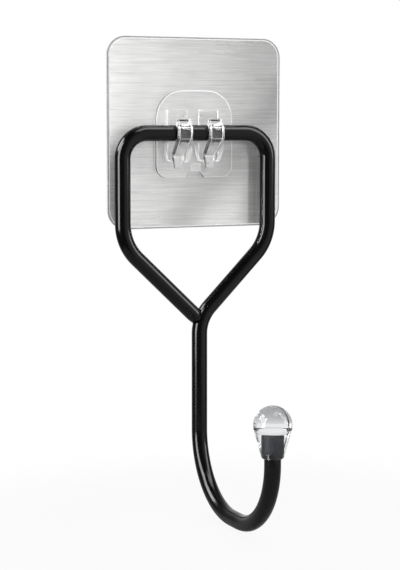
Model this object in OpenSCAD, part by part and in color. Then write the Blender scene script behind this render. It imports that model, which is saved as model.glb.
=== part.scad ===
// Adhesive wall hook: a stick-on pad with a clear moulded base whose two snap claws
// carry the top bar of a bent wire hook.
// Millimetres, +Z up. The wall is the plane y = 0, the pad's middle is the origin and
// the hook stands off the wall towards -Y.

/* [Pad] */
// Width of the pad
pad_w = 60; // [45:0.5:90]
// Height of the pad
pad_h = 60; // [45:0.5:90]
// Corner radius of the pad
pad_corner_r = 6; // [2:0.5:12]
// Thickness of the adhesive layer that goes on the wall
adhesive_t = 0.7; // [0.3:0.05:1.2]
// Thickness of the brushed foil
foil_t = 0.1; // [0.05:0.05:0.3]
// Clear margin around the foil
foil_margin = 0.7; // [0.3:0.1:2]
// Thickness of the clear face sheet
face_t = 0.3; // [0.2:0.05:1]
// Rounding of the face sheet's front edge
face_edge_r = 0.15; // [0.05:0.05:0.2]

/* [Base] */
// Sideways place of the base on the pad
base_shift = -0.8; // [-6:0.1:6]
// Thickness of the glue film under the base
bond_t = 0.1; // [0.05:0.05:0.3]
// How far the glue film stays inside the base's outline
bond_inset = 0.5; // [0.2:0.1:1.5]
// Thickness of the base plate
base_t = 1; // [0.8:0.1:3]
// Plate left beside the two windows, on average
base_side = 4.7; // [4:0.05:9]
// Plate left above the windows
base_above = 6.5; // [5:0.1:12]
// Plate left below the claws' feet
base_below = 3; // [2.4:0.1:8]
// Radius of the plate's upper corners
base_top_r = 9; // [5:0.1:10]
// Radius of the plate's lower corners
base_low_r = 3.8; // [2:0.1:5]
// Rounding of the plate's front edge
base_edge_r = 0.4; // [0.2:0.05:0.7]

/* [Peel notch] */
// Width of the notch at its inner end
notch_in_w = 3.4; // [2:0.1:5]
// Width of the notch at the plate's lower edge
notch_out_w = 6.6; // [5:0.1:9]
// Height of the notch
notch_h = 2; // [1:0.1:2.2]
// Width of the raised thumb tab over the notch
tab_w = 3.8; // [2.5:0.1:4.4]
// Height of the thumb tab
tab_h = 2.6; // [1.5:0.1:3.5]
// How far the thumb tab stands out of the plate
tab_t = 0.5; // [0.2:0.1:1.2]
// Corner radius of the thumb tab
tab_r = 0.7; // [0.3:0.05:0.7]

/* [Claws] */
// Sideways place of the claws on the plate
claw_shift = -0.6; // [-1.5:0.1:1.5]
// Distance between the middles of the two claws
claw_pitch = 10.9; // [9:0.1:16]
// Width of a claw in front of the bar
claw_w = 4.4; // [3:0.1:6]
// Width of a claw at its root
claw_root_w = 3.3; // [2:0.1:4]
// Width of the foot's lower end
claw_foot_w = 2.3; // [1:0.1:3]
// Thickness of the claw's strap
claw_t = 1.9; // [1.4:0.1:3]
// Web left behind the strap where it grows out of the plate
claw_web = 1.65; // [0.8:0.05:2]
// Length of the foot below the root
foot_len = 2.6; // [1.5:0.1:4]
// How far the foot stands out of the plate at its top
foot_t = 1.6; // [1:0.1:2.5]
// How far the foot stands out of the plate at its lower end
foot_end_t = 0.8; // [0.3:0.1:1]
// How deep the bar's seat is cut into the slanting strap
cradle = 0.15; // [0.05:0.05:0.3]
// Gap between the claw's nose and the plate, which the bar snaps through
throat = 3.3; // [2.6:0.1:4]
// Thickness of the nose
nose_t = 0.5; // [0.3:0.05:1]
// Height of the lip above the bar
lip_h = 1.9; // [1.2:0.1:3]
// Thickness of the lip
lip_t = 0.8; // [0.5:0.05:1]
// How far the lip's top is set back from the strap's front
lip_back = 1.3; // [1:0.05:1.8]
// Gap beside a claw in its window
window_gap = 0.9; // [0.4:0.05:1.5]
// Window left open above the lip
window_over = 2.5; // [1:0.1:4]

/* [Wire hook] */
// Diameter of the wire
wire_d = 5; // [4:0.1:6]
// How much thinner the wire is drawn where it is bent
bend_thin = 0.02; // [0.01:0.01:0.1]
// Clearance around the bar in the claws
bar_clear = 0.05; // [0.02:0.01:0.1]
// Distance between the middles of the two legs
hook_w = 50.4; // [44:0.2:70]
// Bend radius at the two top corners
top_bend_r = 8; // [6:0.5:9]
// Height from the bar down to the legs' elbows
elbow_drop = 34.6; // [24:0.2:50]
// Bend radius of the elbows
elbow_bend_r = 15; // [8:0.5:20]
// Angle of the right slanting run from upright
slant = 45; // [35:1:55]
// Sideways place of the shank from the hook's middle
shank_shift = 1; // [0:0.1:3]
// Bend radius where a slanting run becomes the shank
shank_bend_r = 12; // [8:0.5:18]
// Height from the bar down to the start of the lower bend
shank_drop = 94.4; // [80:0.2:130]
// Distance between the middles of the shank and the tip
reach = 50.8; // [47:0.2:70]
// Bend radius of the lower bend at the shank
low_bend_r = 24; // [16:0.2:28]
// Bend radius of the lower bend at the tip
tip_bend_r = 21.8; // [14:0.2:26]
// Straight length of the tip above the lower bend
tip_len = 9.8; // [6:0.1:20]
// Chamfer of the wire's cut tip
tip_chamfer = 0.4; // [0.1:0.05:0.8]
// How far below the fork the left run is welded to the shank
weld_low = 0.6; // [0:0.1:2]
// Length of the tapered end that is welded into the shank
weld_len = 3; // [2:0.1:5]
// Diameter of that end at the weld
weld_d = 4.4; // [3.4:0.1:4.6]

/* [End cap] */
// Diameter of the cap's dome
cap_d = 11.6; // [9:0.1:15]
// Height of the cap
cap_h = 15.8; // [13:0.1:22]
// Depth of the wire in the cap
cap_depth = 7.8; // [4:0.1:10]
// Diameter of the cap's lower rim
cap_rim_d = 6.9; // [6.3:0.1:8]
// Step between the dome and the cone
cap_step = 0.1; // [0.05:0.05:0.3]
// How much smaller the cap's hole is than the wire, on the radius
cap_grip = 0.05; // [0.02:0.01:0.1]

/* [Hidden] */
$fn = 64;

// Steps in a rounded edge
edge_steps = 6;
// Room by which a cut runs past a face
over = 1;
// Length by which a straight run of wire laps over the start of a bend
bend_lap = 0.1;

// Layers from the wall outwards
foil_y = adhesive_t;
face_y = foil_y + foil_t;
bond_y = face_y + face_t;
base_y = bond_y + bond_t;

// Seat of the bar, measured from the plate's back
seat_r = wire_d / 2 + bar_clear;
seat_u = base_t + seat_r;
bar_y = base_y + seat_u;
bar_x = base_shift + claw_shift;

// Side view of a claw
strap_u = seat_u + seat_r + claw_t;
chin_v = (seat_r + claw_t) * (1 - sqrt(2));
cheek = (seat_r - cradle) * cos(45);
root_u = (claw_t + cradle) * sqrt(2) - claw_web;
root_v = -(seat_u + 2 * cheek + claw_web);
foot_v = root_v - foot_len;
foot_top = root_v + base_t + foot_t - root_u;
nose_u = base_t + throat;
nose_v = sqrt(pow(seat_r, 2) - pow(nose_u - seat_u, 2));
lip_v = wire_d / 2 + lip_h;
shoulder_v = seat_r * sin(45);

// Outline of the plate
window_w = claw_w + 2 * window_gap;
window_top = lip_v + window_over;
base_w = claw_pitch + window_w + 2 * base_side;
base_top = window_top + base_above;
base_low = foot_v - base_below;

// Straight runs of the wire, between the bends' tangent points
function tangent(r, angle) = r * tan(angle / 2);
function leg_len(angle) = elbow_drop - top_bend_r - tangent(elbow_bend_r, angle);
bar_len = hook_w - 2 * top_bend_r;
right_run = (hook_w / 2 - shank_shift) / sin(slant);
right_len = right_run - tangent(elbow_bend_r, slant) - tangent(shank_bend_r, slant);
fork_drop = elbow_drop + right_run * cos(slant);
weld_drop = fork_drop + weld_low;
left_slant = atan((hook_w / 2 + shank_shift) / (weld_drop - elbow_drop));
left_run = (hook_w / 2 + shank_shift) / sin(left_slant);
left_len = left_run - tangent(elbow_bend_r, left_slant) - weld_len;
shank_len = shank_drop - fork_drop - tangent(shank_bend_r, slant);
keel_len = reach - low_bend_r - tip_bend_r;
tip_drop = shank_drop + low_bend_r - tip_bend_r;

// Cap, measured up from its rim
dome_r = cap_d / 2;
dome_z = cap_h - dome_r;
cap_hole_r = wire_d / 2 - cap_grip;
rim_r = cap_rim_d / 2;
rim_round = rim_r - cap_hole_r;
cone_lean = atan((dome_r - rim_r) / (dome_z - rim_round));
seam_z = dome_z - dome_r * sin(cone_lean);
seam_r = dome_r * cos(cone_lean) - cap_step;

// Flat outline with its own radius at the upper and the lower corners
module soft_outline(w, top, low, top_r, low_r) {
    for (side = [-1, 1]) {
        translate([side * (w / 2 - top_r), top - top_r]) circle(top_r);
        translate([side * (w / 2 - low_r), low + low_r]) circle(low_r);
    }
    translate([-w / 2, low + low_r]) square([w, top - top_r - low - low_r]);
    translate([top_r - w / 2, low + low_r]) square([w - 2 * top_r, top - low - low_r]);
    translate([low_r - w / 2, low]) square([w - 2 * low_r, top - top_r - low]);
}

// Section through a plate's rim: thickness t, rounded at the outer front edge
module rim_section(depth, t, edge) {
    arc = [for (i = [0 : edge_steps])
        [depth - edge + edge * cos(90 * i / edge_steps), t - edge + edge * sin(90 * i / edge_steps)]];
    polygon(concat([[0, 0], [depth, 0]], arc, [[0, t]]));
}

// Straight stretch of rim along +X, with its outer side towards +Y
module rim_strip(len, depth, t, edge) {
    rotate([90, 0, 90]) linear_extrude(len) rim_section(depth, t, edge);
}

// Quarter turn of rim from the angle `from`
module rim_corner(r, from, t, edge) {
    rotate([0, 0, from]) rotate_extrude(angle = 90) rim_section(r, t, edge);
}

// Plate lying on its back, with a rounded front edge all round
module soft_slab(w, top, low, top_r, low_r, t, edge) {
    side_len = top - top_r - low - low_r;
    translate([w / 2 - top_r, top - top_r, 0]) rim_corner(top_r, 0, t, edge);
    translate([top_r - w / 2, top - top_r, 0]) rim_corner(top_r, 90, t, edge);
    translate([low_r - w / 2, low + low_r, 0]) rim_corner(low_r, 180, t, edge);
    translate([w / 2 - low_r, low + low_r, 0]) rim_corner(low_r, 270, t, edge);
    translate([top_r - w / 2, top - top_r, 0]) rim_strip(w - 2 * top_r, top_r, t, edge);
    translate([w / 2 - low_r, top - top_r, 0]) rotate([0, 0, -90]) rim_strip(side_len, low_r, t, edge);
    translate([low_r - w / 2, low + low_r, 0]) rotate([0, 0, 90]) rim_strip(side_len, low_r, t, edge);
    translate([w / 2 - low_r, low + low_r, 0]) rotate([0, 0, 180]) rim_strip(w - 2 * low_r, low_r, t, edge);
    translate([low_r - w / 2, low + low_r, 0]) cube([w - 2 * low_r, side_len, t]);
}

// Stands a flat shape up against the wall, its back at the distance y from it
module on_wall(x, y) {
    translate([x, -y, 0]) rotate([90, 0, 0]) children();
}

// Soft adhesive that sticks the pad to the wall
module adhesive_layer() {
    color([0.86, 0.88, 0.88])
    on_wall(0, 0) linear_extrude(adhesive_t)
        soft_outline(pad_w, pad_h / 2, -pad_h / 2, pad_corner_r, pad_corner_r);
}

// Silver foil with a brushed grain, sealed between the adhesive and the face
module brushed_foil() {
    foil_r = max(pad_corner_r - foil_margin, foil_margin);
    foil_top = pad_h / 2 - foil_margin;
    color([0.78, 0.78, 0.78])
    on_wall(0, foil_y) linear_extrude(foil_t)
        soft_outline(pad_w - 2 * foil_margin, foil_top, -foil_top, foil_r, foil_r);
}

// Clear face sheet over the foil
module clear_face() {
    color([0.9, 0.93, 0.94, 0.4])
    on_wall(0, face_y)
        soft_slab(pad_w, pad_h / 2, -pad_h / 2, pad_corner_r, pad_corner_r, face_t, face_edge_r);
}

// Notch in the plate's lower edge, where a nail or a blade goes behind it
module notch(grow) {
    slope = (notch_out_w - notch_in_w) / 2 / notch_h;
    out_w = notch_in_w / 2 + slope * (notch_h + over) + grow;
    in_w = notch_in_w / 2 + grow;
    polygon([[-out_w, base_low - over], [out_w, base_low - over],
             [in_w, base_low + notch_h + grow], [-in_w, base_low + notch_h + grow]]);
}

// Glue film between the face sheet and the base
module base_bond() {
    color([0.92, 0.94, 0.94, 0.5])
    on_wall(base_shift, bond_y) linear_extrude(bond_t) difference() {
        soft_outline(base_w - 2 * bond_inset, base_top - bond_inset, base_low + bond_inset,
                     base_top_r - bond_inset, base_low_r - bond_inset);
        notch(bond_inset);
        windows(bond_inset);
    }
}

// Openings in the plate behind the claws, through which the claws are moulded
module windows(grow) {
    for (side = [-1, 1])
        translate([claw_shift + side * claw_pitch / 2 - window_w / 2 - grow, root_v - grow])
            square([window_w + 2 * grow, window_top - root_v + 2 * grow]);
}

// Side view of a claw, u forwards from the plate's back and v up from the bar's axis:
// a strap that grows out of the plate at 45 degrees, runs up in front of the bar and
// ends in a nose over the bar and a lip that leads the bar in
module claw_side() {
    difference() {
        polygon([[0, root_v], [root_u, root_v], [strap_u, chin_v], [strap_u, shoulder_v],
                 [strap_u - lip_back / 2, wire_d / 2], [strap_u - lip_back, lip_v],
                 [strap_u - lip_back - lip_t, lip_v], [nose_u, nose_v + nose_t], [nose_u, 0],
                 [seat_u + cheek, -cheek], [0, root_v + claw_web]]);
        translate([seat_u, 0]) circle(seat_r);
    }
}

// Side view of the foot that props the root on the plate
module foot_side() {
    polygon([[base_t / 2, foot_v], [base_t + foot_end_t, foot_v], [base_t + foot_t, foot_top],
             [base_t / 2, root_v]]);
}

// Front view of a claw: full width at the bar, drawn in towards the root and the foot
module claw_front() {
    polygon([[-claw_w / 2, lip_v + over], [claw_w / 2, lip_v + over], [claw_w / 2, chin_v],
             [claw_root_w / 2, root_v], [claw_foot_w / 2, foot_v], [-claw_foot_w / 2, foot_v],
             [-claw_root_w / 2, root_v], [-claw_w / 2, chin_v]]);
}

// One snap claw with its foot
module claw() {
    intersection() {
        rotate([0, -90, 0]) linear_extrude(claw_w + over, center = true) {
            claw_side();
            foot_side();
        }
        linear_extrude(strap_u + over) claw_front();
    }
}

// Thumb tab over the notch
module thumb_tab() {
    tab_top = base_low + notch_h + tab_h;
    linear_extrude(base_t + tab_t) soft_outline(tab_w, tab_top, tab_top - tab_h, tab_r, tab_r);
}

// Clear moulding: plate, windows, two snap claws, peel notch and thumb tab
module claw_base() {
    color([0.88, 0.92, 0.94, 0.45])
    on_wall(base_shift, base_y) {
        difference() {
            soft_slab(base_w, base_top, base_low, base_top_r, base_low_r, base_t, base_edge_r);
            translate([0, 0, -over]) linear_extrude(base_t + 2 * over) {
                windows(0);
                notch(0);
            }
        }
        for (side = [-1, 1]) translate([claw_shift + side * claw_pitch / 2, 0, 0]) claw();
        thumb_tab();
    }
}

// Straight length of wire along +Z, with what follows at its end
module feed(len) {
    translate([0, 0, -bend_lap]) cylinder(h = len + 2 * bend_lap, d = wire_d);
    translate([0, 0, len]) children();
}

// Bend of the wire from +Z towards +X, after a roll about the wire, with what follows
module bend(r, angle, roll = 0) {
    rotate([0, 0, roll]) {
        translate([r, 0, 0]) rotate([90, 0, 180]) rotate_extrude(angle = angle)
            translate([r, 0]) circle(d = wire_d - bend_thin);
        translate([r * (1 - cos(angle)), 0, r * sin(angle)]) rotate([0, angle, 0]) children();
    }
}

// Tapered wire end for the weld, with what follows
module weld_end() {
    cylinder(h = weld_len, d1 = weld_d, d2 = wire_d);
    translate([0, 0, weld_len]) children();
}

// Cut end of the tip with its chamfer
module cut_tip() {
    translate([0, 0, -bend_lap]) cylinder(h = tip_len - tip_chamfer + bend_lap, d = wire_d);
    translate([0, 0, tip_len - tip_chamfer])
        cylinder(h = tip_chamfer, d1 = wire_d, d2 = wire_d - 2 * tip_chamfer);
}

// Bent wire, laid down in the order in which it is fed and bent: from the weld up the
// left side, along the bar, down the right side to the shank, round the hook to the tip
module wire_hook() {
    color([0.05, 0.05, 0.055])
    translate([bar_x + shank_shift, -bar_y, -weld_drop]) rotate([0, -left_slant, 0])
        weld_end() feed(left_len) bend(elbow_bend_r, left_slant)
        feed(leg_len(left_slant)) bend(top_bend_r, 90)
        feed(bar_len) bend(top_bend_r, 90)
        feed(leg_len(slant)) bend(elbow_bend_r, slant)
        feed(right_len) bend(shank_bend_r, slant, 180)
        feed(shank_len) bend(low_bend_r, 90, 90)
        feed(keel_len) bend(tip_bend_r, 90)
        cut_tip();
}

// Clear cap pressed on the tip: a dome on a cone with a rounded rim
module end_cap() {
    color([0.9, 0.92, 0.94, 0.5])
    translate([bar_x + shank_shift, -bar_y - reach, tip_len - cap_depth - tip_drop])
    difference() {
        union() {
            intersection() {
                translate([0, 0, dome_z]) sphere(dome_r);
                translate([0, 0, seam_z]) cylinder(h = cap_h, r = cap_d);
            }
            translate([0, 0, rim_round]) cylinder(h = seam_z - rim_round, r1 = rim_r, r2 = seam_r);
            rotate_extrude() translate([cap_hole_r, rim_round]) circle(rim_round);
        }
        translate([0, 0, -over]) cylinder(h = cap_depth + over, r = cap_hole_r);
    }
}

adhesive_layer();
brushed_foil();
clear_face();
base_bond();
claw_base();
wire_hook();
end_cap();
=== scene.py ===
# %% [markdown]
# # Dressing an adhesive wall hook
# The hook is a square pad that sticks to a wall, a clear moulding with two snap claws, and a
# black wire that hangs in the claws and ends in a clear bulb. The CAD model already has every
# piece at its real size. This lesson loads it, finishes the surfaces, and sets up a plain studio.

# %% Load the shared frame
import math

import bmesh
import bpy
import numpy as np
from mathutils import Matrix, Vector


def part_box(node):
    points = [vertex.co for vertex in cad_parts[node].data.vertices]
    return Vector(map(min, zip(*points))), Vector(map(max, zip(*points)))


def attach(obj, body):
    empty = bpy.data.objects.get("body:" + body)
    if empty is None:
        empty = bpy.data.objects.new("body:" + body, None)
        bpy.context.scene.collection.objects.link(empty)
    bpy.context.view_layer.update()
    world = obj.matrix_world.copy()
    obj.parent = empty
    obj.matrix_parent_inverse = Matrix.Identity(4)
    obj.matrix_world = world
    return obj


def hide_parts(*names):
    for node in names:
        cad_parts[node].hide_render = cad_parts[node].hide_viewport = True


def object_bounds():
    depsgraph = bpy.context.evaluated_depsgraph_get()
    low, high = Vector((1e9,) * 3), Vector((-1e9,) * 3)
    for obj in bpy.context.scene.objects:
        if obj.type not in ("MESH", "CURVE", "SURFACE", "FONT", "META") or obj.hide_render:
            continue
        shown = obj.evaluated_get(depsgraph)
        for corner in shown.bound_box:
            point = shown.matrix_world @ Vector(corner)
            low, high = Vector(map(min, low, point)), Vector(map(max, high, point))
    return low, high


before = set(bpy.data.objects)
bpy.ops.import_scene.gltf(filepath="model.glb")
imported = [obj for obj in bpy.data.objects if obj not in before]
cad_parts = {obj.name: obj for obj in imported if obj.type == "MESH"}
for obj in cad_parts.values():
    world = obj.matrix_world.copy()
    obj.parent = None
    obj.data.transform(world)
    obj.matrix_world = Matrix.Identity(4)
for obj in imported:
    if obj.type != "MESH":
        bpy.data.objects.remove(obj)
cad_low, cad_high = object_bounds()
MM = 0.001
print("CAD box in mm:", [round(side / MM, 2) for side in cad_high - cad_low])

# %% [markdown]
# ## The camera
# The picture looks at the hook from the left and from a little above. A camera is easiest to
# place as a photographer does: pick the point it aims at, then step back from it along one
# direction. A long lens keeps the legs of the wire nearly parallel.

# %% Place the camera
AIM = Vector((2.02, 0.0, -48.75)) * MM
CAMERA_TURN, CAMERA_RISE, CAMERA_FAR, LENS = -25.0, 5.96, 520, 102.09


def step_back(azimuth, elevation):
    """Unit vector from the object to the viewer, with azimuth 0 straight in front of the wall."""
    turn, rise = math.radians(azimuth), math.radians(elevation)
    return Vector((math.sin(turn) * math.cos(rise), -math.cos(turn) * math.cos(rise), math.sin(rise)))


def aimed(thing, azimuth, elevation, distance):
    """Put a camera or a lamp at a distance from the aim, facing it, and link it to the scene."""
    away = step_back(azimuth, elevation)
    thing.location = AIM + away * distance
    thing.rotation_euler = (-away).to_track_quat("-Z", "Y").to_euler()
    bpy.context.scene.collection.objects.link(thing)
    return thing


lens = bpy.data.cameras.new("camera")
lens.lens = LENS
lens.clip_start = 10 * MM
camera = aimed(bpy.data.objects.new("camera", lens), CAMERA_TURN, CAMERA_RISE, CAMERA_FAR * MM)
bpy.context.scene.camera = camera
bpy.context.scene.view_settings.view_transform = "Standard"
print("camera at", [round(c / MM, 1) for c in camera.location], "mm")

# %% [markdown]
# ## Node helpers
# Every finish below is a small tree of nodes. A tree could be wired link by link, but then most of
# the script would be wiring. Here an input takes either a constant or another node's socket, so a
# line of code reads like the formula that it stands for.

# %% Helpers for node trees
WHITE = (1.0, 1.0, 1.0, 1.0)
EVEN = (1, 1, 1)


def feed(tree, node, values):
    """Give inputs, by name or by number, a constant each or a link from another node's socket."""
    for socket, value in values.items():
        if isinstance(value, bpy.types.NodeSocket):
            tree.links.new(value, node.inputs[socket])
        else:
            node.inputs[socket].default_value = value


def add(tree, kind, values=None, **settings):
    """Add one node, set its properties, then feed its inputs."""
    made = tree.nodes.new(kind)
    for key, value in settings.items():
        setattr(made, key, value)
    feed(tree, made, values or {})
    return made


def calc(tree, operation, *values):
    """Math node on sockets and plain numbers, as the socket of its result."""
    return add(tree, "ShaderNodeMath", dict(enumerate(values)), operation=operation).outputs[0]


def spread(tree, value, low, high, start=0.3, end=0.7, easing="LINEAR"):
    """Map a value from start and end onto low and high; the usual start and end suit a noise."""
    ends = {"Value": value, "From Min": start, "From Max": end, "To Min": low, "To Max": high}
    return add(tree, "ShaderNodeMapRange", ends, interpolation_type=easing).outputs["Result"]


def grey_ramp(tree, tones, easing="LINEAR"):
    """Ramp node with a grey tone at each place from 0 to 1."""
    ramp = add(tree, "ShaderNodeValToRGB")
    ramp.color_ramp.interpolation = easing
    marks = ramp.color_ramp.elements
    marks.remove(marks[-1])
    for place, tone in tones:
        marks.new(place).color = (tone, tone, tone, 1.0)
    marks.remove(marks[0])
    return ramp


print("helpers ready")

# %% [markdown]
# ## The studio
# The object is shown on white. Clear plastic and black gloss show little but their surroundings,
# so what each of them sees matters more than its own colour. Gloss sees a ring of tones: white
# behind the object, dark in front, and a bright panel to the right that the foil mirrors. Light
# that bends through plastic sees white behind and grey above and below, which draws the edges of
# anything clear. The camera itself always sees white.

# %% The ring that gloss mirrors
world = bpy.data.worlds.new("studio")
bpy.context.scene.world = world
world.use_nodes = True
sky = world.node_tree
sky.nodes.clear()
# Stops: degrees round from straight in front (right is positive) and brightness there.
ROUND_THE_ROOM = [(-180, 1.0), (-170, 0.8), (-155, 0.25), (-104, 0.1), (-8, 0.1),
                  (8, 0.6), (16, 0.75), (34, 0.75), (44, 1.0), (60, 1.0), (70, 0.2),
                  (104, 0.12), (120, 0.6), (160, 1.0), (180, 1.0)]
CEILING = 0.25
direction = add(sky, "ShaderNodeTexCoord").outputs["Generated"]
axes = add(sky, "ShaderNodeSeparateXYZ", {0: direction}).outputs
turn = calc(sky, "ARCTAN2", axes["X"], calc(sky, "MULTIPLY", axes["Y"], -1.0))
ring = grey_ramp(sky, [(degrees / 360 + 0.5, shade) for degrees, shade in ROUND_THE_ROOM])
feed(sky, ring, {"Fac": spread(sky, turn, 0.0, 1.0, -math.pi, math.pi)})
overhead = spread(sky, axes["Z"], 1.0, CEILING, 0.35, 0.9, "SMOOTHSTEP")
gloss_level = calc(sky, "MULTIPLY", ring.outputs["Color"], overhead)
print("world has", len(ring.color_ramp.elements), "stops round the room")

# %% What bent light and the camera see
off_level = calc(sky, "ABSOLUTE", axes["Z"])
through = spread(sky, off_level, 1.0, 0.45, 0.45, 0.85, "SMOOTHSTEP")
behind = calc(sky, "MULTIPLY", through, spread(sky, axes["Y"], 0.25, 1.0, 0.3, 0.55))
front_share = spread(sky, axes["Y"], 1.0, 0.0, -0.75, -0.45)
bent_level = add(sky, "ShaderNodeMix", {"Factor": front_share, "A": behind, "B": gloss_level},
                 data_type="FLOAT").outputs["Result"]
for_gloss, for_bent, for_camera = (
    add(sky, "ShaderNodeBackground", {"Color": WHITE, "Strength": strength}).outputs[0]
    for strength in (gloss_level, bent_level, 1.0))
ray = add(sky, "ShaderNodeLightPath").outputs
unseen = add(sky, "ShaderNodeMixShader", {0: ray["Is Transmission Ray"], 1: for_gloss, 2: for_bent})
seen = add(sky, "ShaderNodeMixShader", {0: ray["Is Camera Ray"], 1: unseen.outputs[0], 2: for_camera})
add(sky, "ShaderNodeOutputWorld", {"Surface": seen.outputs[0]})
print("world has", len(sky.nodes), "nodes")

# %% [markdown]
# ## Lamps
# Lamps do here what softboxes do in a product picture. One overhead lights the bar and drops the
# contact shadow, and a frontal one lights the pad. Black gloss needs more: a tall strip on the
# left draws the bright line down each leg, a box behind it carries that line round the curve, and
# a strip on the right draws the second line. Those three light no matt surface, so they throw no
# shadow. A highlight is as wide as the lamp that it mirrors, so the strips are broad.

# %% Softboxes


def softbox(name, azimuth, elevation, distance, width, height, power):
    """Rectangular lamp that faces the aim, in metres and watts; the camera never sees the lamp."""
    light = bpy.data.lights.new(name, "AREA")
    light.shape = "RECTANGLE"
    light.size, light.size_y = width, height
    light.energy = power
    lamp = aimed(bpy.data.objects.new(name, light), azimuth, elevation, distance)
    lamp.visible_camera = False
    return lamp


overhead_box = softbox("overhead_box", 35, 68, 0.7, 0.45, 0.3, 2.6)
front_box = softbox("front_box", -22, 12, 0.9, 0.2, 0.2, 4.5)
left_strip = softbox("left_strip", -80, 16.5, 0.7, 0.3, 0.7, 11.2)
back_box = softbox("back_box", -112, 36, 0.7, 0.36, 0.36, 6.5)
right_strip = softbox("right_strip", 57, 30, 0.7, 0.3, 0.75, 4.4)
front_box.visible_glossy = False
for lamp in (left_strip, back_box, right_strip):
    lamp.visible_diffuse = False
for lamp in (front_box, back_box, right_strip):
    lamp.visible_transmission = False

# %% [markdown]
# ## The floor
# The hook stands in a white space with the faintest shadow under its curve. The floor is a disc at
# the lowest point. Most of what the camera sees of it is plain white light, and the rest is
# ordinary matt paint, which takes the shadow. The share of white grows outwards, so the disc has
# no visible rim.

# %% Floor
FLOOR_R, FLOOR_OUT, FLOOR_SIDES = 0.14, 0.03, 96
floor_turns = np.linspace(0, 2 * np.pi, FLOOR_SIDES, endpoint=False)
floor_rim = np.stack([FLOOR_R * np.cos(floor_turns), FLOOR_R * np.sin(floor_turns) - FLOOR_OUT,
                      np.full(FLOOR_SIDES, cad_low.z)], axis=1)
floor_mesh = bpy.data.meshes.new("floor")
floor_mesh.from_pydata(floor_rim.tolist(), [], [list(range(FLOOR_SIDES))])
floor = bpy.data.objects.new("floor", floor_mesh)
bpy.context.scene.collection.objects.link(floor)
print("floor at", round(cad_low.z / MM, 2), "mm")

# %% Floor paint


def finish_named(name):
    """Start a node material and hand back it, its tree and its main shader."""
    material = bpy.data.materials.new(name)
    material.use_nodes = True
    return material, material.node_tree, material.node_tree.nodes["Principled BSDF"]


def show(tree, shader):
    """Make a shader's output the surface of the material."""
    feed(tree, tree.nodes["Material Output"], {"Surface": shader.outputs[0]})


WHITE_SHARE, GLOSS_SHARE = 0.93, 0.15
paint, tree, matt = finish_named("floor_paint")
feed(tree, matt, {"Base Color": (0.5, 0.5, 0.5, 1.0), "Roughness": 0.9, "Specular IOR Level": 0.0})
glow = add(tree, "ShaderNodeEmission", {"Color": WHITE, "Strength": 1.0})
ray = add(tree, "ShaderNodeLightPath").outputs
centred = add(tree, "ShaderNodeMapping", {"Vector": add(tree, "ShaderNodeTexCoord").outputs["Object"],
                                          "Location": (0.0, FLOOR_OUT, -cad_low.z)})
from_middle = add(tree, "ShaderNodeVectorMath", {0: centred.outputs["Vector"]},
                  operation="LENGTH").outputs["Value"]
to_white = spread(tree, from_middle, WHITE_SHARE, 1.0, 0.05, 0.13, "SMOOTHSTEP")
camera_share = calc(tree, "MULTIPLY", to_white, ray["Is Camera Ray"])
outwards = spread(tree, from_middle, 0.0, 1.0, 0.05, 0.2)
bent_share = calc(tree, "MULTIPLY", outwards, ray["Is Transmission Ray"])
other_share = calc(tree, "MULTIPLY_ADD", ray["Is Glossy Ray"], GLOSS_SHARE, bent_share)
white_share = calc(tree, "ADD", other_share, camera_share)
show(tree, add(tree, "ShaderNodeMixShader", {0: white_share, 1: matt.outputs[0], 2: glow.outputs[0]}))
floor_mesh.materials.append(paint)
print("floor paint made,", WHITE_SHARE, "white in the middle")

# %% [markdown]
# ## Meshes from arrays
# The new pieces are grids of points computed as whole arrays. This helper turns such a grid into
# a mesh: neighbouring points make quads, a direction can be closed into a ring, and open ends
# can be capped. Smooth shading is set on every face.

# %% Grid to mesh


def grid_piece(name, points, closed_v=False, caps=False):
    """Mesh from an array of points[u, v]: each quad joins (u, v) to its next neighbours.

    With closed_v the last column joins the first; with caps the first and last rows become
    single faces, so that a tube is closed.
    """
    rows, columns = points.shape[:2]
    index = np.arange(rows * columns).reshape(rows, columns)
    right = np.roll(index, -1, axis=1) if closed_v else index[:, 1:]
    left = index if closed_v else index[:, :-1]
    quads = np.stack([left[:-1], right[:-1], right[1:], left[1:]], axis=-1).reshape(-1, 4).tolist()
    if caps:
        quads += [index[0, ::-1].tolist(), index[-1].tolist()]
    mesh = bpy.data.meshes.new(name)
    mesh.from_pydata((points.reshape(-1, 3) * MM).tolist(), [], quads)
    mesh.polygons.foreach_set("use_smooth", np.ones(len(mesh.polygons), dtype=bool))
    mesh.update()
    piece = bpy.data.objects.new(name, mesh)
    bpy.context.scene.collection.objects.link(piece)
    return piece


def box_mm(node):
    """Low and high corner of a CAD node, in mm."""
    return (np.array(corner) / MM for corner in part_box(node))


print("grid helper ready")

# %% [markdown]
# ## The black wire
# The hook is one length of 5 mm wire, fed and bent seven times, with its first end welded to
# the shank and a glossy black coat over all of it. Following the bender works here too: a list
# of straight feeds and bends gives the centre line, and a circle carried along it gives the
# coat, with no steps where a bend begins.

# %% A path of feeds and bends
STEP_MM, STEP_DEGREES, FEWEST_STEPS = 1.5, 2.5, 8


def spin_y(angle):
    """Rotation about Y for an array of angles, as stacked 3 by 3 matrices."""
    c, s, zero = np.cos(angle), np.sin(angle), np.zeros_like(angle)
    return np.stack([np.stack([c, zero, s], -1), np.stack([zero, zero + 1, zero], -1),
                     np.stack([-s, zero, c], -1)], -2)


def spin_z(angle):
    """Rotation about Z by one angle."""
    c, s = math.cos(angle), math.sin(angle)
    return np.array([[c, -s, 0], [s, c, 0], [0, 0, 1]])


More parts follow.
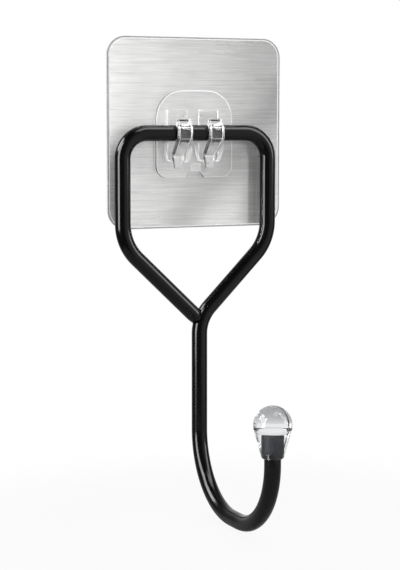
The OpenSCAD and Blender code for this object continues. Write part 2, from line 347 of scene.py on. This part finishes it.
def bent_path(start, turn, moves):
    """Centre line of a bent wire, as points and as the frames that a section rides in.

    Each move is (feed,) for a straight length or (radius, degrees, roll) for a bend. In the
    running frame the wire heads along Z; a bend goes r(1 - cos a) towards X and r sin a along Z
    while the frame turns about Y by a. A roll about Z picks the bend's plane, and is taken out
    of the frames again, so that the section never twists.
    """
    here, frame_now, rolled = np.array(start, float), turn, 0.0
    points, frames = [], []
    for move in moves:
        if len(move) == 1:
            along = np.linspace(0, move[0], max(int(move[0] / STEP_MM), 2))
            local = np.stack([0 * along, 0 * along, along], -1)
            turns = spin_y(0 * along)
        else:
            radius, degrees, roll = move
            frame_now = frame_now @ spin_z(math.radians(roll))
            rolled += roll
            steps = max(int(degrees / STEP_DEGREES), FEWEST_STEPS)
            angle = np.radians(np.linspace(0, degrees, steps))
            local = np.stack([radius * (1 - np.cos(angle)), 0 * angle, radius * np.sin(angle)], -1)
            turns = spin_y(angle)
        points.append((here + local @ frame_now.T)[:-1])
        frames.append((frame_now @ turns @ spin_z(math.radians(-rolled)))[:-1])
        here = here + frame_now @ local[-1]
        frame_now = frame_now @ turns[-1]
    points.append(here[None])
    frames.append((frame_now @ spin_z(math.radians(-rolled)))[None])
    return np.concatenate(points), np.concatenate(frames)


print("path helper ready")

# %% Centre line of the wire
WIRE_R, BAR_Y, SHANK_SHIFT, WELD_BELOW = 2.5, -4.75, 1.0, 0.6
ELBOW_DROP, ELBOW_R, TOP_R, SLANT, SHANK_R = 34.6, 15.0, 8.0, 45.0, 12.0
SHANK_DROP, LOW_R, TIP_R, TIP_LEN, WELD_LEN, CHAMFER = 94.4, 24.0, 21.8, 9.8, 3.0, 0.4


def meets(radius, degrees):
    """Distance from the corner to where a bend begins: r tan(a / 2)."""
    return radius * math.tan(math.radians(degrees) / 2)


hook_low, hook_high = box_mm("wire_hook")
leg_left, leg_right = hook_low[0] + WIRE_R, hook_high[0] - WIRE_R
hook_w = leg_right - leg_left
shank_x = (leg_left + leg_right) / 2 + SHANK_SHIFT
right_run = (hook_w / 2 - SHANK_SHIFT) / math.sin(math.radians(SLANT))
fork_drop = ELBOW_DROP + right_run * math.cos(math.radians(SLANT))
weld_drop = fork_drop + WELD_BELOW
left_slant = math.degrees(math.atan2(hook_w / 2 + SHANK_SHIFT, weld_drop - ELBOW_DROP))
left_run = (hook_w / 2 + SHANK_SHIFT) / math.sin(math.radians(left_slant))
reach = BAR_Y - hook_low[1] - WIRE_R
moves = [(WELD_LEN,), (left_run - meets(ELBOW_R, left_slant) - WELD_LEN,), (ELBOW_R, left_slant, 0),
         (ELBOW_DROP - TOP_R - meets(ELBOW_R, left_slant),), (TOP_R, 90, 0),
         (hook_w - 2 * TOP_R,), (TOP_R, 90, 0),
         (ELBOW_DROP - TOP_R - meets(ELBOW_R, SLANT),), (ELBOW_R, SLANT, 0),
         (right_run - meets(ELBOW_R, SLANT) - meets(SHANK_R, SLANT),), (SHANK_R, SLANT, 180),
         (SHANK_DROP - fork_drop - meets(SHANK_R, SLANT),), (LOW_R, 90, 90),
         (reach - LOW_R - TIP_R,), (TIP_R, 90, 0), (TIP_LEN - CHAMFER,), (CHAMFER,)]
centre, riding = bent_path((shank_x, BAR_Y, -weld_drop), spin_y(np.radians(-left_slant)), moves)
length = np.concatenate([[0.0], np.cumsum(np.linalg.norm(np.diff(centre, axis=0), axis=1))])
print("wire length", round(length[-1], 1), "mm in", len(centre), "sections")

# %% Coat of the wire
WELD_R, WIRE_SIDES = 2.2, 48
around_wire = np.linspace(0, 2 * np.pi, WIRE_SIDES, endpoint=False)
section_r = np.interp(length, [0, WELD_LEN, length[-1] - CHAMFER, length[-1]],
                      [WELD_R, WIRE_R, WIRE_R, WIRE_R - CHAMFER])
circle = np.stack([np.cos(around_wire), np.sin(around_wire), 0 * around_wire], -1)
coat_points = centre[:, None] + np.einsum("nij,kj->nki", riding, circle) * section_r[:, None, None]
coated_wire = grid_piece("coated_wire", coat_points, closed_v=True, caps=True)
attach(coated_wire, "hook")
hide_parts("wire_hook")
coat_box = coat_points.reshape(-1, 3)
print("coat from", coat_box.min(0).round(2), "to", coat_box.max(0).round(2))

# %% [markdown]
# ## The black finish
# The coat is smooth black plastic, glossy but not a mirror. One plain black would do from afar; a
# little noise in the tone and in the roughness, and a faint swell of the skin, keep the highlights
# alive close up. The end that sits in the bulb is the same black coat. Through the plastic it looks
# matt and bluish, so the faces there get painted light: a lighter bluish grey in place of the
# black, standing for the light in the bulb, and a rough surface that shows no highlight.

# %% Black coat


def object_grain(tree, stretch, scale, detail=3.0, rough=0.5):
    """Noise on the piece's own coordinates, stretched by three factors, as a grey value."""
    place = add(tree, "ShaderNodeTexCoord").outputs["Object"]
    mapping = add(tree, "ShaderNodeMapping", {"Vector": place, "Scale": stretch})
    return add(tree, "ShaderNodeTexNoise", {"Vector": mapping.outputs["Vector"], "Scale": scale,
                                            "Detail": detail, "Roughness": rough}).outputs["Fac"]


def mottled(tree, dark, light, grain):
    """Colour that wanders between two tones with a grey value."""
    return add(tree, "ShaderNodeMix", {"Factor": grain, 6: dark, 7: light}, data_type="RGBA").outputs[2]


def bumped(tree, grain, strength, depth):
    """Normal tilted by a grey value that is read as a height."""
    return add(tree, "ShaderNodeBump", {"Height": grain, "Strength": strength,
                                        "Distance": depth}).outputs["Normal"]


black, tree, coat = finish_named("black_coat")
feed(tree, coat, {
    "Base Color": mottled(tree, (0.0015, 0.0015, 0.0017, 1), (0.003, 0.0029, 0.0028, 1),
                          object_grain(tree, EVEN, 90)),
    "Specular IOR Level": 0.25,
    "Roughness": spread(tree, object_grain(tree, EVEN, 80), 0.14, 0.18),
    "Normal": bumped(tree, object_grain(tree, EVEN, 120, 1.0), 0.02, 0.04 * MM)})
coated_wire.data.materials.append(black)
print("black coat made")

# %% The end in the bulb
CAP_DEPTH = 7.8
# Painted light: the black end gets the lighter bluish grey that the bulb's plastic lends it.
seated, tree, matt = finish_named("painted_bulb_view")
feed(tree, matt, {
    "Base Color": mottled(tree, (0.009, 0.010, 0.013, 1), (0.016, 0.017, 0.022, 1),
                          object_grain(tree, (1, 1, 0.3), 500)),
    "Specular IOR Level": 0.1,
    "Roughness": 0.6})
coated_wire.data.materials.append(seated)
in_bulb = np.append(np.repeat(length[:-1] > length[-1] - CAP_DEPTH, WIRE_SIDES), [False, True])
coated_wire.data.polygons.foreach_set("material_index", in_bulb.astype(np.int32))
print("seated end made,", int(in_bulb.sum()), "faces in the bulb")

# %% [markdown]
# ## The brushed foil
# The silver square is a foil between the adhesive and the clear face. Its grain is many fine
# scratches along its width, which smear every reflection up and down. The sheet is a grid whose
# height follows the rounded outline, and its own map runs up the sheet, so that the shader
# knows which way the smear goes.

# %% Foil sheet
FOIL_R, FOIL_GAP, FOIL_T, PAD_HALF = 5.3, 0.02, 0.06, 30
foil_low, foil_high = box_mm("brushed_foil")
foil_half = (foil_high - foil_low)[[0, 2]] / 2


def rounded_sheet(half_w, half_h, corner_r, y):
    """Flat sheet with round corners: x runs across, and z is a share of the half height there.

    The half height is full between the corners, and over a corner it drops by
    r - sqrt(r^2 - d^2), where d is how far x is past the corner's centre.
    """
    swing = np.radians(np.linspace(90, 0, 14))
    right = half_w - corner_r + corner_r * np.cos(swing)
    x = np.concatenate([-right[::-1], np.linspace(-right[0], right[0], 26)[1:-1], right])
    past = np.maximum(np.abs(x) - (half_w - corner_r), 0)
    height = half_h - corner_r + np.sqrt(np.maximum(corner_r ** 2 - past ** 2, 0))
    share_up = np.linspace(-1, 1, 31)
    grid_z = height[:, None] * share_up[None]
    grid_x = np.broadcast_to(x[:, None], grid_z.shape)
    return np.stack([grid_x, np.full(grid_z.shape, y), grid_z], -1)[::-1]


def read(items, name, width, kind=float):
    """One property of all faces, edges or corners of a mesh, as an array with that many columns."""
    values = np.empty(len(items) * width, dtype=kind)
    items.foreach_get(name, values)
    return values.reshape(-1, width)


foil_points = rounded_sheet(foil_half[0], foil_half[1], FOIL_R, foil_low[1] + FOIL_GAP)
foil_sheet = grid_piece("foil_sheet", foil_points)
foil_mesh = foil_sheet.data
foil_mesh.polygons.foreach_set("use_smooth", np.zeros(len(foil_mesh.polygons), dtype=bool))
thick = foil_sheet.modifiers.new("thickness", "SOLIDIFY")
thick.thickness = FOIL_T * MM
thick.offset = -1.0
flat = foil_points.reshape(-1, 3)[read(foil_mesh.loops, "vertex_index", 1, np.int32)[:, 0]]
up_the_sheet = (flat[:, [2, 0]] + PAD_HALF) / (2 * PAD_HALF)
foil_mesh.uv_layers.new(name="grain").data.foreach_set("uv", up_the_sheet.ravel())
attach(foil_sheet, "wall_base")
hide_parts("brushed_foil")
print("foil", (foil_half * 2).round(2), "mm, normal", foil_mesh.polygons[0].normal[:])

# %% [markdown]
# ## The brushed finish and its painted sheen
# Brushing leaves grooves much finer than the picture's grain, so the smear is left to the shader's
# anisotropy, and only the coarser scratches are drawn, as noise stretched along the width. The
# foil also changes tone from corner to corner, as mirrored studio cards would make it. Here that
# light and dark is painted into the foil's colour, as a painted sheen across it and a painted
# glint towards its lower right corner, so that it stays with the piece when the view turns.

# %% Brushed finish and painted sheen
# Painted sheen and glint: place in mm and tone there, across the foil and towards its lower
# right corner. The tones stand for reflected light, not for the foil's own colour.
PAINTED_SHEEN_ACROSS = [(-30, 1.0), (-18, 0.86), (0, 0.7), (30, 0.42)]
PAINTED_GLINT_CORNERWARDS = [(8, 1.0), (20, 0.83), (38, 1.45), (50, 1.75)]
GLINT_SLOPE = -0.9


def sheen_ramp(tree, value, tones):
    """Smooth ramp of grey tones over places in mm, fed by a value in metres."""
    first, last = tones[0][0], tones[-1][0]
    ramp = grey_ramp(tree, [((where - first) / (last - first), tone) for where, tone in tones], "EASE")
    feed(tree, ramp, {"Fac": spread(tree, value, 0.0, 1.0, first * MM, last * MM)})
    return ramp.outputs["Color"]


def times(tree, one, other):
    """Product of two colours."""
    return add(tree, "ShaderNodeMix", {"Factor": 1.0, 6: one, 7: other}, data_type="RGBA",
               blend_type="MULTIPLY").outputs[2]


brushed, tree, metal = finish_named("brushed_silver_and_sheen")
streak = object_grain(tree, (0.025, 1, 1), 3400, 3.0, 0.6)
broad = object_grain(tree, (0.12, 1, 1), 260, 2.0)
spot = add(tree, "ShaderNodeTexCoord").outputs["Object"]
axes = add(tree, "ShaderNodeSeparateXYZ", {0: spot}).outputs
silver = mottled(tree, (0.75, 0.75, 0.75, 1), (1.05, 1.05, 1.035, 1), spread(tree, streak, 0.0, 1.0))
# Painted sheen and glint: the light and dark of reflections are multiplied into the silver.
painted_sheen_silver = times(tree, silver, sheen_ramp(tree, axes["X"], PAINTED_SHEEN_ACROSS))
glint_place = calc(tree, "MULTIPLY_ADD", axes["Z"], GLINT_SLOPE, axes["X"])
way = add(tree, "ShaderNodeTangent", direction_type="UV_MAP", uv_map="grain")
feed(tree, metal, {
    "Base Color": times(tree, painted_sheen_silver, sheen_ramp(tree, glint_place, PAINTED_GLINT_CORNERWARDS)),
    "Metallic": 0.7,
    "Roughness": spread(tree, broad, 0.27, 0.34),
    "Anisotropic": 1.0,
    "Tangent": way.outputs[0],
    "Normal": bumped(tree, streak, 0.12, 0.02 * MM)})
foil_mesh.materials.append(brushed)
print("brushed finish made with", len(tree.nodes), "nodes")

# %% [markdown]
# ## Clear plastic
# The face sheet, the glue, the moulding and the bulb are all clear. Solid pieces bend what is
# behind them, so they refract in the shader. Cycles would draw a black shadow under each, so they
# are told to cast none. Thin films only need a little gloss over nothing.

# %% Clear finishes
CLEAR = (1.0, 1.0, 1.0, 1)


def clear_solid(name, tint, ior, smooth, haze, clarity, wavy=0.03):
    """Refracting plastic: a share of clarity, the rest milky, with faint haze in the roughness."""
    material, tree, body = finish_named(name)
    feed(tree, body, {
        "Base Color": tint,
        "Transmission Weight": clarity,
        "IOR": ior,
        "Roughness": spread(tree, object_grain(tree, EVEN, 220), smooth, haze),
        "Normal": bumped(tree, object_grain(tree, EVEN, 120, 2.0), wavy, 0.1 * MM)})
    return material


def clear_film(name, tint, gloss, low, high, scale):
    """Thin clear film: a share of gloss, mottled by noise, mixed over a clear shader."""
    material, tree, body = finish_named(name)
    feed(tree, body, {"Base Color": tint, "Roughness": gloss})
    see_through = add(tree, "ShaderNodeBsdfTransparent", {"Color": tint})
    share = spread(tree, object_grain(tree, EVEN, scale), low, high)
    show(tree, add(tree, "ShaderNodeMixShader", {0: share, 1: see_through.outputs[0], 2: body.outputs[0]}))
    return material


def dress(node, material):
    """Give a CAD node a finish in place of the plain one that it came with."""
    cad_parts[node].material_slots[0].material = material


dress("adhesive_layer", clear_film("tacky_gel", (0.97, 0.97, 0.97, 1), 0.35, 0.2, 0.35, 300))
dress("base_bond", clear_film("clear_glue", CLEAR, 0.2, 0.01, 0.03, 500))
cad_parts["base_bond"].visible_shadow = False
print("films made")

# %% [markdown]
# ## The clear face sheet
# A clear sheet covers the foil and runs a little past it, so the pad has a fine pale margin with
# a greyer line outside it, where the sheet was cut. That line is painted shade: the rolled edge
# gets a grey film for the dark that the cut edge shows. The sheet is one section of that edge,
# carried round the rounded square, with the flat faces closing it front and back.

# %% Face sheet
PAD_R, ROLL, EDGE_BAND, FLAT_FROM, CORNER_STEPS = 6.0, 0.15, 0.4, 1.6, 16
face_low, face_high = box_mm("clear_face")


def framed_sheet(half_w, half_h, corner_r, section):
    """Rounded rectangle swept by a section of (inset, y) pairs.

    Each corner is a quarter circle about a fixed centre with the radius corner_r - inset, so
    every ring is the outline moved inwards by its inset.
    """
    quarter = np.radians(np.linspace(0, 90, CORNER_STEPS))
    angles = np.concatenate([quarter + math.pi / 2 * corner for corner in range(4)])
    side_x = np.repeat([1, -1, -1, 1], CORNER_STEPS) * (half_w - corner_r)
    side_z = np.repeat([1, 1, -1, -1], CORNER_STEPS) * (half_h - corner_r)
    radius = corner_r - section[:, :1]
    x, z = side_x + radius * np.cos(angles), side_z + radius * np.sin(angles)
    return np.stack([x, np.broadcast_to(section[:, 1:], x.shape), z], -1)


roll = np.radians(np.linspace(0, 90, 7))
edge_section = np.concatenate([
    [[FLAT_FROM, face_high[1]], [EDGE_BAND, face_high[1]], [0.0, face_high[1]]],
    np.stack([ROLL - ROLL * np.cos(roll), face_low[1] + ROLL - ROLL * np.sin(roll)], -1),
    [[EDGE_BAND, face_low[1]], [FLAT_FROM, face_low[1]]]])
face_points = framed_sheet(face_high[0], face_high[2], PAD_R, edge_section)
face_sheet = grid_piece("face_sheet", face_points, closed_v=True, caps=True)
face_sheet.data.materials.append(clear_film("face_film", CLEAR, 0.05, 0.02, 0.04, 200))
# The rolled edge gets a grey film: painted shade for the dark line of the cut.
face_sheet.data.materials.append(clear_film("painted_shade_edge", (0.45, 0.45, 0.46, 1), 0.12, 0.4, 0.55, 900))
bands = np.repeat(np.arange(len(edge_section) - 1), face_points.shape[1])
is_shaded_edge = np.append((bands >= 1) & (bands <= len(edge_section) - 3), [False, False])
face_sheet.data.polygons.foreach_set("material_index", is_shaded_edge.astype(np.int32))
face_sheet.visible_shadow = False
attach(face_sheet, "wall_base")
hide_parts("clear_face")
print("face sheet", (face_high - face_low).round(2), "mm, front", face_sheet.data.polygons[-1].normal[:])

# %% [markdown]
# ## The clear moulding
# The base that holds the wire is one shot of clear plastic: a plate, two claws with feet, and a
# small thumb tab. Modelling it again would risk its fit on the bar, so a merged copy of the CAD
# mesh keeps the shape exact, and only its finish is new.

# %% Copy of the moulding
shape = bmesh.new()
shape.from_mesh(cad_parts["claw_base"].data)
bmesh.ops.remove_doubles(shape, verts=shape.verts, dist=0.002 * MM)
bmesh.ops.dissolve_limit(shape, angle_limit=math.radians(1.0), verts=shape.verts, edges=shape.edges)
moulding_mesh = bpy.data.meshes.new("claw_moulding")
shape.to_mesh(moulding_mesh)
shape.free()
moulding_mesh.polygons.foreach_set("use_smooth", np.ones(len(moulding_mesh.polygons), dtype=bool))
claw_moulding = bpy.data.objects.new("claw_moulding", moulding_mesh)
bpy.context.scene.collection.objects.link(claw_moulding)
claw_moulding.visible_shadow = False
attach(claw_moulding, "wall_base")
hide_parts("claw_base")
print("moulding copied with", len(moulding_mesh.polygons), "faces")

# %% [markdown]
# ## Painted shade and gleams on the moulding
# A clear part shows where its surface turns away: walls and the sides of the claws' legs look dark,
# and rims and feet catch light. A path tracer finds some of that by itself, but at this size the
# walls are a pixel wide. So each kind of face is told by where it lies and which way it looks.
# Walls and leg sides get a dark tint, which is painted shade, and rims, feet and round edges get a
# milky white, which is a painted gleam.

# %% Which face gets which finish
PLATE_T, LEVEL = 1.0, 0.02
CLAW_SHIFT, CLAW_PITCH, CLAW_HALF = -0.6, 10.9, 2.4
LEGS_Z, FEET_Z = -2.2, -8.2
SIDEWAYS, UPRIGHT, FORWARD, FLAT = 0.8, 0.6, 0.5, 0.99
plate_low, plate_high = box_mm("claw_base")
claws_x = (plate_low[0] + plate_high[0]) / 2 + CLAW_SHIFT
plate_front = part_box("base_bond")[0].y - PLATE_T * MM
facing = read(moulding_mesh.polygons, "normal", 3)
middles = read(moulding_mesh.polygons, "center", 3)
in_plate = middles[:, 1] > plate_front - LEVEL * MM
in_claw = ~in_plate & (np.abs(np.abs(middles[:, 0] / MM - claws_x) - CLAW_PITCH / 2) < CLAW_HALF)
is_leg_side = in_claw & (np.abs(facing[:, 0]) > SIDEWAYS) & (middles[:, 2] < LEGS_Z * MM)
is_wall = in_plate & (np.abs(facing[:, 1]) < UPRIGHT)
is_foot = ~in_plate & (facing[:, 1] < -FORWARD) & (middles[:, 2] < FEET_Z * MM)
is_rim = in_plate & (facing[:, 1] > -FLAT) & (facing[:, 1] < -UPRIGHT)
# Walls and leg sides take painted shade, feet and rim a painted gleam.
finish_of = 2 * is_wall + 3 * is_leg_side + 4 * is_foot + 5 * is_rim
moulding_mesh.polygons.foreach_set("material_index", finish_of.astype(np.int32))
print("walls", int(is_wall.sum()), "leg sides", int(is_leg_side.sum()), "feet", int(is_foot.sum()),
      "rim", int(is_rim.sum()))

# %% Plastics of the moulding
PLASTIC_IOR = 1.49
# In the order of the finish numbers: name, tint, least and most roughness, clarity. The dark
# tints are painted shade, and the milky shares of the gleams are painted highlights.
PLASTICS = [("clear_moulding", CLEAR, 0.0, 0.03, 0.99),
            ("painted_edge_gleam", CLEAR, 0.05, 0.1, 0.5),
            ("painted_shade_wall", (0.15, 0.15, 0.155, 1), 0.05, 0.1, 1.0),
            ("painted_shade_leg", (0.22, 0.22, 0.225, 1), 0.02, 0.06, 1.0),
            ("painted_foot_gleam", CLEAR, 0.02, 0.06, 0.75),
            ("painted_rim_gleam", CLEAR, 0.05, 0.1, 0.25)]
for plastic, tint, smooth, haze, clarity in PLASTICS:
    moulding_mesh.materials.append(clear_solid(plastic, tint, PLASTIC_IOR, smooth, haze, clarity))
GLEAM_SLOT = 1
print("plastics:", moulding_mesh.materials.keys())

# %% [markdown]
# ## Round edges
# The edges of any moulding are slightly round, and those edges are much of what one sees of clear
# plastic. A bevel with one width for all would fold over itself round the bar's seat, so each edge
# has a weight: full round the windows, less on the claws and the tab, and only a hair's width on
# the other sharp edges, which keeps the shading of flat faces flat.

# %% Bevel by weight
EDGE_R, SHARP = 0.4, 32.0
CLAW_SHARE, CHIN_SHARE, TAB_SHARE, HAIR_SHARE = 0.4, 0.2, 0.4, 0.005
CHIN_Y, CHIN_Z, PROUD = -9.0, -1.5, 0.1
WINDOW_HALF, WINDOW_TOP, WINDOW_LOW = 3.4, 7.3, -8.7


def turning(mesh, normals):
    """Angle in degrees by which each edge of a closed mesh turns.

    Sorting the face corners by their edge puts the two faces of an edge side by side; the angle
    is the arc cosine of the product of their normals.
    """
    corner_edge = read(mesh.loops, "edge_index", 1, np.int32)[:, 0]
    corners = read(mesh.polygons, "loop_total", 1, np.int32)[:, 0]
    corner_face = np.repeat(np.arange(len(corners)), corners)
    pairs = corner_face[np.argsort(corner_edge, kind="stable")].reshape(-1, 2)
    return np.degrees(np.arccos(np.clip((normals[pairs[:, 0]] * normals[pairs[:, 1]]).sum(1), -1, 1)))


ends = read(moulding_mesh.edges, "vertices", 2, np.int32)
edge_x, edge_y, edge_z = (read(moulding_mesh.vertices, "co", 3)[ends].mean(1) / MM).T
from_claw = np.abs(np.abs(edge_x - claws_x) - CLAW_PITCH / 2)
at_window = (from_claw < WINDOW_HALF) & (edge_z < WINDOW_TOP) & (edge_z > WINDOW_LOW)
roundness = np.where(at_window, 1.0, HAIR_SHARE)
in_front = edge_y < plate_front / MM - PROUD
roundness[in_front] = np.where(from_claw[in_front] < CLAW_HALF, CLAW_SHARE, TAB_SHARE)
roundness[(edge_y < CHIN_Y) & (edge_z < CHIN_Z)] = CHIN_SHARE
roundness[turning(moulding_mesh, facing) < SHARP] = 0.0
moulding_mesh.attributes.new("bevel_weight_edge", "FLOAT", "EDGE").data.foreach_set("value", roundness)
soft_edge = claw_moulding.modifiers.new("soft_edge", "BEVEL")
soft_edge.width = EDGE_R * MM
soft_edge.use_clamp_overlap = False
soft_edge.segments = 3
soft_edge.limit_method = "WEIGHT"
soft_edge.harden_normals = True
# The bevel's faces take the milky painted gleam.
soft_edge.material = GLEAM_SLOT
print("round edges:", int((roundness > 0).sum()), "of", len(roundness))

# %% [markdown]
# ## Ribs beside the claws
# A low rib runs down each side of a claw and hooks in under it to meet the foot. Ribs like these
# stiffen the claw's root, and they catch the light as slanted lines; a milky share in their
# plastic adds a painted gleam to those lines. The wire's path helper bends the rib's line as well,
# and an arch carried along it, lower towards the foot, gives the ridge.

# %% Ribs
RIB_TOP, RIB_LOW, RIB_BEND, RIB_FOOT = (4.9, -3.1), (3.75, -8.05), 1.0, 0.85
RIB_W, RIB_TOP_H, RIB_LOW_H, RIB_SEAT, RIB_SIDES = 0.9, 1.6, 0.8, 0.01, 32


def ridge(path_points, path_frames, seat_y):
    """Arch carried along a path on the plate: u is the share of the way along, v goes round.

    In the path's frame the section is w/2 cos v across and h min(sin v, 0) out of the plate, so
    its lower half is flat. The height h falls along the path, and sqrt(1 - (2u - 1)^8) rounds
    both ends off.
    """
    steps = np.linalg.norm(np.diff(path_points, axis=0), axis=1)
    u = np.concatenate([[0.0], np.cumsum(steps)]) / steps.sum()
    v = np.linspace(0, 2 * np.pi, RIB_SIDES, endpoint=False)
    ends_off = np.sqrt(1 - np.clip(2 * u - 1, -0.998, 0.998) ** 8)[:, None]
    across = RIB_W / 2 * ends_off * np.cos(v)
    out = (RIB_TOP_H + (RIB_LOW_H - RIB_TOP_H) * u)[:, None] * ends_off * np.minimum(np.sin(v), 0)
    local = np.stack([across, out, 0 * across], -1)
    return path_points[:, None] + np.einsum("nij,nkj->nki", path_frames, local) + [0, seat_y, 0]


rib_run = np.subtract(RIB_LOW, RIB_TOP)
rib_lean = math.degrees(math.atan2(-rib_run[0], -rib_run[1]))
rib_moves = [(np.linalg.norm(rib_run),), (RIB_BEND, 90 - rib_lean, 0), (RIB_FOOT,)]
rib_line, rib_frames = bent_path((RIB_TOP[0], 0, RIB_TOP[1]), spin_y(np.radians(180 + rib_lean)), rib_moves)
right_rib = ridge(rib_line, rib_frames, plate_front / MM - RIB_SEAT)
left_rib = (right_rib * [-1, 1, 1])[:, ::-1]
# The rib's plastic is partly milky white, a painted gleam along the ridge.
rib_gleam_plastic = clear_solid("painted_gleam_rib", CLEAR, PLASTIC_IOR, 0.0, 0.05, 0.72)
for claw_name, claw_x in (("left", claws_x - CLAW_PITCH / 2), ("right", claws_x + CLAW_PITCH / 2)):
    for side_name, points in (("a", left_rib), ("b", right_rib)):
        placed = points + [claw_x, 0, 0]
        rib = grid_piece(f"{claw_name}_rib_{side_name}", placed, closed_v=True, caps=True)
        rib.data.materials.append(rib_gleam_plastic)
        rib.visible_shadow = False
        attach(rib, "wall_base")
        print(rib.name, "from", placed.min((0, 1)).round(2), "to", placed.max((0, 1)).round(2))

# %% [markdown]
# ## The bulb on the tip
# A soft clear cap is pressed on the wire's end so that nothing hung there is scratched. It is a
# solid of revolution: one profile from the hole, round the rim, up the cone, over the small
# seam of the mould and round the dome, carried round the tip's axis. Its plastic is a little
# greyer than the moulding's and bends light less.

# %% Bulb
DOME_R, HOLE_R, RIM_R, SEAM_STEP, BULB_SIDES = 5.8, 2.45, 3.45, 0.1, 96
HOLE_GAP, HOLE_SHOULDER, HOLE_MOUTH, NEEDLE_R, BULB_IOR = 0.03, 0.45, 0.5, 0.02, 1.32
cap_low, cap_high = box_mm("end_cap")
cap_axis = (cap_low + cap_high)[:2] / 2
cap_h = cap_high[2] - cap_low[2]


def bulb_profile():
    """Half section as (r, z): hole, torus rim, cone, seam step and dome, each a plain curve.

    The rim is part of a half circle, the cone leans so that it meets the dome at a tangent, and
    the dome's points are (R cos a, R sin a) about its centre. Both ends stop a needle's radius
    from the axis, where small flat faces close the solid.
    """
    rim = RIM_R - HOLE_R
    dome_z = cap_h - DOME_R
    lean = math.atan2(DOME_R - RIM_R, dome_z - rim)
    half = np.radians(np.linspace(180, 360, 14))
    rim_arc = np.stack([HOLE_R + rim * np.cos(half), rim + rim * np.sin(half)], -1)[6:]
    seam_z, seam_r = dome_z - DOME_R * math.sin(lean), DOME_R * math.cos(lean) - SEAM_STEP
    rise = np.linspace(0, 1, 12)[1:]
    cone = np.stack([RIM_R + (seam_r - RIM_R) * rise, rim + (seam_z - rim) * rise], -1)
    dome_a = np.linspace(-lean, math.pi / 2, 40)[:-1]
    dome = np.stack([DOME_R * np.cos(dome_a), dome_z + DOME_R * np.sin(dome_a)], -1)
    hole_top = CAP_DEPTH - HOLE_GAP
    hole = np.array([[NEEDLE_R, hole_top], [HOLE_R - CHAMFER, hole_top],
                     [HOLE_R, CAP_DEPTH - HOLE_SHOULDER], [HOLE_R, rim_arc[0, 1] + HOLE_MOUTH]])
    return np.concatenate([hole, rim_arc, cone, dome, [[NEEDLE_R, cap_h]]])


profile = bulb_profile()
spin = np.linspace(0, 2 * np.pi, BULB_SIDES, endpoint=False)
bulb_points = np.stack([cap_axis[0] + profile[:, :1] * np.cos(spin),
                        cap_axis[1] + profile[:, :1] * np.sin(spin),
                        np.broadcast_to(cap_low[2] + profile[:, 1:], (len(profile), BULB_SIDES))], -1)
bulb_cap = grid_piece("bulb_cap", bulb_points, closed_v=True, caps=True)
bulb_finish = clear_solid("clear_bulb", (0.83, 0.835, 0.85, 1), BULB_IOR, 0.0, 0.02, 0.98, 0.004)
bulb_cap.data.materials.append(bulb_finish)
bulb_cap.visible_shadow = False
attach(bulb_cap, "hook")
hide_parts("end_cap")
print("bulb", profile.max(0).round(2), "mm")
